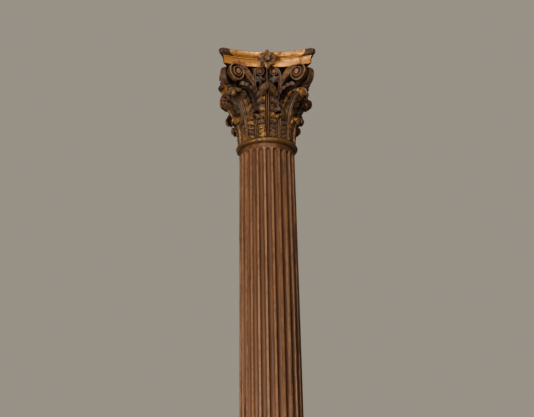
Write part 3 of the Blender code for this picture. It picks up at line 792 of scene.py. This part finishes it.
# the small scroll beside the middle of a side, with the bud below it
def addHelix(store, place, size, slot, budSlot):
    s = capitalShape
    r = s["helix"]
    front, back = -size * 0.036, size * 0.040
    strap = smoothLine(routeOf("helixOuter", size) + [(0.0, r)], 24)
    line = np.vstack([strap[:-1], spiralLine(r, r * 0.46, s["helixTurns"], 52)])
    width = np.concatenate([np.linspace(0.0036, 0.0045, 23), np.linspace(0.0045, 0.0034, 52)])
    bar, facing = sweepBar(line, width, front, back, 8)
    addShell(store, placeInPlane(bar, place), 0.35 + 0.55 * facing, slot)
    inner = smoothLine(routeOf("helixInner", size) + [(-r * 0.96, -r * 0.10)], 20)
    bar, facing = sweepBar(inner, np.linspace(0.0030, 0.0034, 20), front * 0.95, back, 8)
    addShell(store, placeInPlane(bar, place), 0.30 + 0.5 * facing, slot)
    addWeb(store, place, smoothLine(strap, 20), smoothLine(inner, 20), front, back, 0.5, slot)
    addBoss(store, place, [(r * 0.92, back * 0.8), (r * 0.93, front * 0.25), (r * 0.5, front * 0.35)],
            [0.2, 0.2, 0.15], 28, slot)
    addBoss(store, place, [(r * 0.42, front * 0.3), (r * 0.40, front * 0.9), (r * 0.22, front * 1.1),
                           (r * 0.03, front * 1.14)], [0.3, 0.8, 0.92, 0.92], 20, slot)
    bud = placeOffset(place, (-0.002, -r * 1.75))
    turn = np.linspace(0, 2 * pi, 30, endpoint=False)
    rings = []
    for reach, depth in ((0.6, back * 0.6), (1.0, front * 0.1), (0.95, front * 0.55), (0.55, front * 0.95),
                         (0.08, front * 1.05)):
        lobed = r * 0.92 * reach * (1 + 0.20 * np.cos(turn * 5) * (reach > 0.5))
        rings.append(np.stack([lobed * 1.15 * np.cos(turn), np.full(30, depth), lobed * np.sin(turn)],
                              axis=1))
    tones = np.array([0.2, 0.35, 0.55, 0.75, 0.6])[:, None] + 0.15 * np.cos(turn * 5)
    addShell(store, placeInPlane(np.array(rings), bud), tones, budSlot)


# the stem that carries the flower, between the two small scrolls
def addStem(store, angle, slot):
    share = np.linspace(0.58, 0.985, 16)[:, None]
    turn = np.linspace(0, 2 * pi, 12, endpoint=False)[None, :]
    radius = 0.0028 + 0.0012 * share ** 3
    x = radius * np.cos(turn)
    y = -(bellRadius(share) + 0.005) + radius * np.sin(turn)
    z = footZ + capitalHeight * share + 0 * turn
    addShell(store, turnGrid(np.stack([x, y, z], axis=-1), angle), 0.75, slot)


# the cup leaf under a strap, seen on edge: a chain of rounded lobes that curls out below the scroll
def addCupLeaf(store, place, size, slot):
    rows, cols, lobes, half = 66, 15, 7.0, size * 0.070
    line = smoothLine(routeOf("cup", size), rows)
    tangent = unitRows(np.gradient(line, axis=0))
    normal = np.stack([-tangent[:, 1], tangent[:, 0]], axis=1)
    along = np.linspace(0, 1, rows)[:, None]
    u = np.linspace(-1, 1, cols)[None, :]
    broad = np.interp(along[:, 0], [0, 0.2, 0.6, 0.9, 1.0], [0.45, 0.8, 1.0, 0.75, 0.3])[:, None] * half
    lobe = np.abs(np.sin(pi * along * lobes)) ** 0.6
    thick = 0.0030 + 0.0052 * lobe * np.abs(u) ** 1.5 + 0.0015 * (1 - u ** 2)
    sideways = u * broad * (0.80 + 0.20 * lobe)
    skins = []
    for side in (1.0, -1.0):
        lift = side * thick - 0.20 * half * u ** 2
        skins.append(np.stack([line[:, :1] + normal[:, :1] * lift, sideways,
                               line[:, 1:] + normal[:, 1:] * lift], axis=-1))
    grid = np.concatenate([skins[0], skins[1][:, ::-1]], axis=1)
    tone = 0.25 + 0.6 * lobe * (0.5 + 0.5 * np.abs(u))
    addShell(store, placeInPlane(grid, place), np.concatenate([tone, tone[:, ::-1]], axis=1), slot)


def finishCarving(name, store, materials):
    piece = finishMesh(name, store, materials)
    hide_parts("capital")


def buildLeaves():
    lower, upper = newStore(), newStore()
    for i in range(8):
        angle = i * pi / 4
        addLeaf(lower, angle + pi / 8, wornLeaf if i in (0, 7) else lowerLeaf, 100 + i)
        addLeaf(upper, angle, cornerLeaf if i % 2 else sideLeaf, 200 + i)
    finishCarving("lowerLeaves", lower, [carvedWood])
    finishCarving("upperLeaves", upper, [carvedWood])


def buildScrolls():
    s = capitalShape
    size = capitalHeight
    store = newStore()
    share = np.linspace(0, 1, 30)
    profile = [(float(bellRadius(v)), footZ + (capitalHigh[2] - footZ) * v) for v in share]
    # the bell's low tone keeps gold off it and gives its hollows the fullest painted shade
    addShell(store, turnedGrid(profile, 96), 0.10, 0)
    slope = radians(s["voluteHeading"])
    for side in range(4):
        face = Matrix.Rotation(side * pi / 2, 4, "Z")
        for hand in (-1, 1):
            eye = Vector((hand * abacusShape["horn"] * 0.667, -(abacusHigh[0] - size * 0.120),
                          footZ + size * 0.892))
            place = face @ uprightPlane(eye, -hand * slope)
            if hand < 0:
                place = place @ Matrix.Scale(-1, 4, Vector((1, 0, 0)))
            addVolute(store, place, size, 1)
            addCupLeaf(store, place, size, 2)
            centre = Vector((hand * size * 0.095, -(float(bellRadius(0.90)) + size * 0.045),
                             footZ + size * 0.920))
            place = face @ Matrix.Translation(centre) @ Matrix.Rotation(radians(12), 4, "X")
            if hand > 0:
                place = place @ Matrix.Scale(-1, 4, Vector((1, 0, 0)))
            addHelix(store, place, size, 1, 2)
        addStem(store, side * pi / 2, 1)
    finishCarving("bellAndScrolls", store, [carvedWood, scrollWood, cupWood])


# abacus: hollow-sided moulded board with cut corners
# the edge from the bottom up: share of its height, share of the overhang drawn in, and tone
# the tone column sinks in the grooves between the mouldings, which deepens their painted shade
abacusEdge = [
    (0.0, 1.0, 0.5), (0.02, 0.985, 0.7), (0.1, 1.0, 0.55), (0.2, 0.985, 0.55), (0.3, 0.93, 0.6),
    (0.38, 0.84, 0.62), (0.44, 0.76, 0.66), (0.465, 0.73, 0.7), (0.47, 0.6, 0.2), (0.48, 0.55, 0.12),
    (0.5, 0.53, 0.12), (0.52, 0.55, 0.2), (0.54, 0.62, 0.6), (0.575, 0.62, 0.65), (0.585, 0.45, 0.2),
    (0.6, 0.36, 0.15), (0.625, 0.31, 0.2), (0.64, 0.33, 0.3), (0.65, 0.2, 0.5), (0.68, 0.12, 0.6),
    (0.72, 0.06, 0.66), (0.76, 0.03, 0.7), (0.8, 0.01, 0.72), (0.84, 0.0, 0.75), (0.88, 0.005, 0.8),
    (0.92, 0.02, 0.86), (0.95, 0.04, 0.95), (0.985, 0.09, 1.0), (1.0, 0.14, 0.8)]


def abacusRing(z, inset):
    s = abacusShape
    half = abacusHigh[0]
    even = np.linspace(-1, 1, s["perSide"])
    x = s["horn"] * (1.36 * even - 0.36 * even ** 3)        # closer together near the corners
    y = -(half - s["hollow"] * (1 - (x / s["horn"]) ** 2) - inset)
    side = np.stack([x * (1 - inset * 0.5 / half), y, np.full_like(x, z)], axis=1)
    blend = np.linspace(0, 1, s["perCorner"] + 1)[1:-1, None]
    corner = side[-1] * (1 - blend) + turnGrid(side[:1], pi / 2)[0] * blend
    quarter = np.concatenate([side, corner])
    return np.concatenate([turnGrid(quarter, k * pi / 2) for k in range(4)])


def buildAbacus():
    s = abacusShape
    low, high = abacusLow[2], abacusHigh[2]
    level, _, tone = (column[:, None] for column in np.array(abacusEdge).T)
    grid = np.array([abacusRing(low + (high - low) * v, s["corbel"] * inset) for v, inset, _ in abacusEdge])
    tone = tone + 0.12 * ripple(grid, 0.03, 31)
    dents = np.clip(ripple(grid, 0.012, 33) - 0.05, 0, 1) * s["dent"]
    dents *= 0.3 + np.clip(level * 2.5 - 1.5, 0, 1)
    # dark carved lumps round the upper half of each corner
    away = np.abs(np.abs(grid[..., 0]) - np.abs(grid[..., 1])) / 2 ** 0.5
    lumpy = smoothStep(s["lumpReach"] - away, 0.0, 0.006)
    lumpy = lumpy * smoothStep(level, s["lumpFrom"], s["lumpFrom"] + 0.08)
    across = np.abs(np.cos(pi * away / s["lumpPitch"])) ** 0.6
    rise = np.abs(np.sin(pi * (level - s["lumpFrom"]) / (1 - s["lumpFrom"]) * 1.5)) ** 0.5
    bulge = across * (0.55 + 0.45 * rise)
    cut = dents + lumpy * s["lumpDepth"] * (1 - bulge + 0.25 * ripple(grid, 0.008, 35))
    grid -= outwardFrom(grid) * cut[..., None]
    tone = np.where(lumpy > 0.5, 0.15 + 0.65 * bulge, tone)
    # the lumps, the cut corners and both caps take the darker corner wood: bare wood on the lumps and the
    # top, painted shade on the cut corners and the underside
    columns = np.arange(s["perSide"] + s["perCorner"] - 1)
    corner = np.tile(columns >= s["perSide"] - 1, 4)[None, :]
    bareAndShadedFaces = ((lumpy > 0.4) | corner).astype(int)
    # the gilding grows darker within this reach of the middle of each side, where the flowers stand
    beside = np.exp(-(np.minimum(np.abs(grid[..., 0]), np.abs(grid[..., 1])) / s["flowerDarkReach"]) ** 2)
    tone = tone * (1 - 0.62 * beside)                       # dark round the flowers
    store = newStore()
    addShell(store, grid, tone, bareAndShadedFaces, 1)
    piece = finishMesh("abacusBoard", store, [abacusGilt, cornerWood])
    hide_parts("abacus")


# flower on the middle of each side: eight petals round a seed head, on a short block
flowerShape = {"petals": 8, "width": 0.068, "height": 0.082, "petalThick": 0.005, "petalHalf": 0.0112,
               "root": 0.004, "around": 32}


def addPetal(store, centre, angle, length, half, front, seed):
    rows, cols, root = 16, 11, flowerShape["root"]
    t = np.linspace(0, 1, rows)[:, None]
    u = np.linspace(-1, 1, cols)[None, :]
    broad = half * np.sin(pi * np.clip(t * 0.86 + 0.10, 0, 1)) ** 0.7
    arch = 0.010 * np.sin(pi * t * 0.9) + 0.004 * t
    groove = 0.0022 * (np.abs(u) - 0.4) - 0.0012 * np.exp(-(u / 0.12) ** 2)

    def skin(side):
        reach = root + (length - root) * t + 0 * u
        sideways = u * broad
        out = front - arch - side * flowerShape["petalThick"] * 0.5 + (groove if side > 0 else 0)
        x = reach * sin(angle) + sideways * cos(angle)
        z = reach * cos(angle) - sideways * sin(angle)
        return np.stack([centre[0] + x, out + 0 * x, centre[2] + z], axis=-1)

    tone = 0.45 + 0.45 * np.abs(u) * np.ones_like(t) + 0.1 * t
    grid = np.concatenate([skin(1.0), skin(-1.0)[:, ::-1]], axis=1)
    tones = np.concatenate([tone, tone[:, ::-1] * 0.5], axis=1)
    grid[..., 1] += 0.0006 * ripple(grid, 0.01, seed)
    addShell(store, grid, tones)


def buildFlower(name, node, face, seed):
    s = flowerShape
    centre = (flowerLow + flowerHigh) / 2
    front, around = flowerLow[1], s["around"]
    store = newStore()
    rim = -(abacusHigh[0] - abacusShape["hollow"]) - 0.0008          # just in front of the top edge
    ringAngles = np.linspace(0, 2 * pi, around, endpoint=False)

    def disc(radius, depth, raised=0.0):
        lobe = 1 + raised * np.cos(ringAngles * s["petals"])
        return np.stack([centre[0] + radius * lobe * np.sin(ringAngles), np.full(around, depth),
                         centre[2] + radius * lobe * np.cos(ringAngles)], axis=1)

    stem = np.array([disc(0.016, rim), disc(0.026, rim - 0.006), disc(0.024, rim - 0.014),
                     disc(0.010, rim - 0.020)])
    addShell(store, stem, 0.15)
    for i in range(s["petals"]):
        angle = 2 * pi * i / s["petals"]
        length = (s["height"] / 2 if i % 2 == 0 else s["width"] / 2 * 1.02) * 0.97
        addPetal(store, centre, angle, length, s["petalHalf"], rim - 0.010 - 0.003 * (i % 2), seed + i)
    head = [(0.012, rim - 0.018), (0.0125, rim - 0.026), (0.0105, rim - 0.033), (0.006, front + 0.0015),
            (0.001, front + 0.0008)]
    addShell(store, np.array([disc(r, v, 0.10) for r, v in head]), 0.75)
    store["points"] = [turnGrid(shell, face) for shell in store["points"]]
    piece = finishMesh(name, store, [flowerWood])
    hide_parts(node)


buildPlinth()
buildBase()
buildShaft()
buildCollar()
print("plinth, base, shaft and collar ready")
buildLeaves()
buildScrolls()
print("capital ready")
buildAbacus()
for turnIndex, sideName in enumerate(("front", "right", "back", "left")):
    buildFlower("flower_" + sideName, "fleuron_" + sideName, turnIndex * pi / 2, 500 + 20 * turnIndex)
print("abacus and flowers ready")


# floor, light and camera
sceneSetup = {"floorRadius": 12.0, "cameraDistance": 4.6, "cameraTan": 0.412, "azimuth": -2.8,
              "roll": 1.0, "focal": 1313.0, "picture": (534, 417), "aimX": 267.8, "aimY": 150.5}


def buildFloor():
    angles = np.linspace(0, 2 * pi, 96, endpoint=False)
    rim = np.stack([np.cos(angles), np.sin(angles), 0 * angles], axis=1) * sceneSetup["floorRadius"]
    mesh = bpy.data.meshes.new("floor")
    mesh.from_pydata((rim + np.array([0, 0, plinthLow[2] - 0.0005])).tolist(), [], [list(range(96))])
    mat = bpy.data.materials.new("paleFloor")
    mat.use_nodes = True
    shader = mat.node_tree.nodes["Principled BSDF"]
    shader.inputs["Base Color"].default_value = (0.50, 0.46, 0.41, 1.0)
    shader.inputs["Roughness"].default_value = 0.8
    mesh.materials.append(mat)
    floor = bpy.data.objects.new("floor", mesh)
    bpy.context.scene.collection.objects.link(floor)


# where each lamp stands, in degrees and metres, what it aims at, and its beam
lamps = {
    "keyLight": dict(azimuth=4, elevation=36, distance=3.2, size=0.6, power=1.35, beam=26, aim=2.34,
                     color=(1.0, 0.84, 0.64)),
    "frontLight": dict(azimuth=-8, elevation=18, distance=4.2, size=1.0, power=32, beam=180, aim=2.1,
                       color=(1.0, 0.86, 0.68)),
    "shaftLight": dict(azimuth=-34, elevation=-4, distance=4.2, size=1.4, power=96, beam=180, aim=1.2,
                       color=(1.0, 0.87, 0.72)),
    "lowLight": dict(azimuth=-20, elevation=0, distance=4.2, size=1.0, power=6.5, beam=44, aim=0.75,
                     color=(1.0, 0.88, 0.76)),
    "backRim": dict(azimuth=180, elevation=25, distance=4.0, size=2.0, power=24, beam=180, aim=1.8,
                    color=(0.95, 0.95, 1.0)),
}
room = {"softColor": (0.335, 0.310, 0.270), "softStrength": 0.34, "wallColor": (0.345, 0.305, 0.245),
        "wallStrength": 1.0}


def addLamp(name, lamp):
    data = bpy.data.lights.new(name, "AREA")
    data.size = lamp["size"]
    data.spread = radians(lamp["beam"])
    data.energy = lamp["power"]
    data.color = lamp["color"]
    light = bpy.data.objects.new(name, data)
    a, e = radians(lamp["azimuth"]), radians(lamp["elevation"])
    target = Vector((0, 0, lamp["aim"]))
    light.location = target + Vector((sin(a) * cos(e), -cos(a) * cos(e), sin(e))) * lamp["distance"]
    light.rotation_euler = (target - light.location).to_track_quat("-Z", "Y").to_euler()
    bpy.context.scene.collection.objects.link(light)


# soft light from all round, and a plain wall colour where the camera sees past the column
def buildRoom():
    world = bpy.data.worlds.new("studio")
    world.use_nodes = True
    tree = world.node_tree
    soft = tree.nodes["Background"]
    soft.inputs["Color"].default_value = (*room["softColor"], 1.0)
    soft.inputs["Strength"].default_value = room["softStrength"]
    wall = addNode(tree, "ShaderNodeBackground", Strength=room["wallStrength"])
    wall.inputs["Color"].default_value = (*room["wallColor"], 1.0)
    pick = addNode(tree, "ShaderNodeMixShader")
    seen = addNode(tree, "ShaderNodeLightPath").outputs["Is Camera Ray"]
    for slot, source in enumerate((seen, soft.outputs[0], wall.outputs[0])):
        tree.links.new(source, pick.inputs[slot])
    tree.links.new(pick.outputs[0], tree.nodes["World Output"].inputs["Surface"])
    bpy.context.scene.world = world


def buildCamera():
    s = sceneSetup
    wide, tall = s["picture"]
    a = radians(s["azimuth"])
    collarZ = (collarLow[2] + collarHigh[2]) / 2
    data = bpy.data.cameras.new("camera")
    data.sensor_width = 36.0
    data.lens = s["focal"] / wide * data.sensor_width
    data.clip_end = 100.0
    camera = bpy.data.objects.new("camera", data)
    distance = s["cameraDistance"]
    camera.location = (distance * sin(a), -distance * cos(a), collarZ - s["cameraTan"] * distance)
    # tilt and swing that put the collar's middle at its place in the picture
    right, up = (s["aimX"] - wide / 2) / s["focal"], (tall / 2 - s["aimY"]) / s["focal"]
    toward = (Vector((0, 0, collarZ)) - camera.location).normalized()
    basis = toward.to_track_quat("-Z", "Y").to_matrix()
    spin = Matrix.Rotation(radians(-s["roll"]), 3, "Z")
    aimed = Vector((right, up, -1.0)).normalized()
    tilt = aimed.rotation_difference(Vector((0, 0, -1))).to_matrix()
    camera.rotation_euler = (basis @ tilt @ spin).to_euler()
    bpy.context.scene.collection.objects.link(camera)
    bpy.context.scene.camera = camera


buildFloor()
for lampName, lamp in lamps.items():
    addLamp(lampName, lamp)
buildRoom()
buildCamera()
print("stage ready")
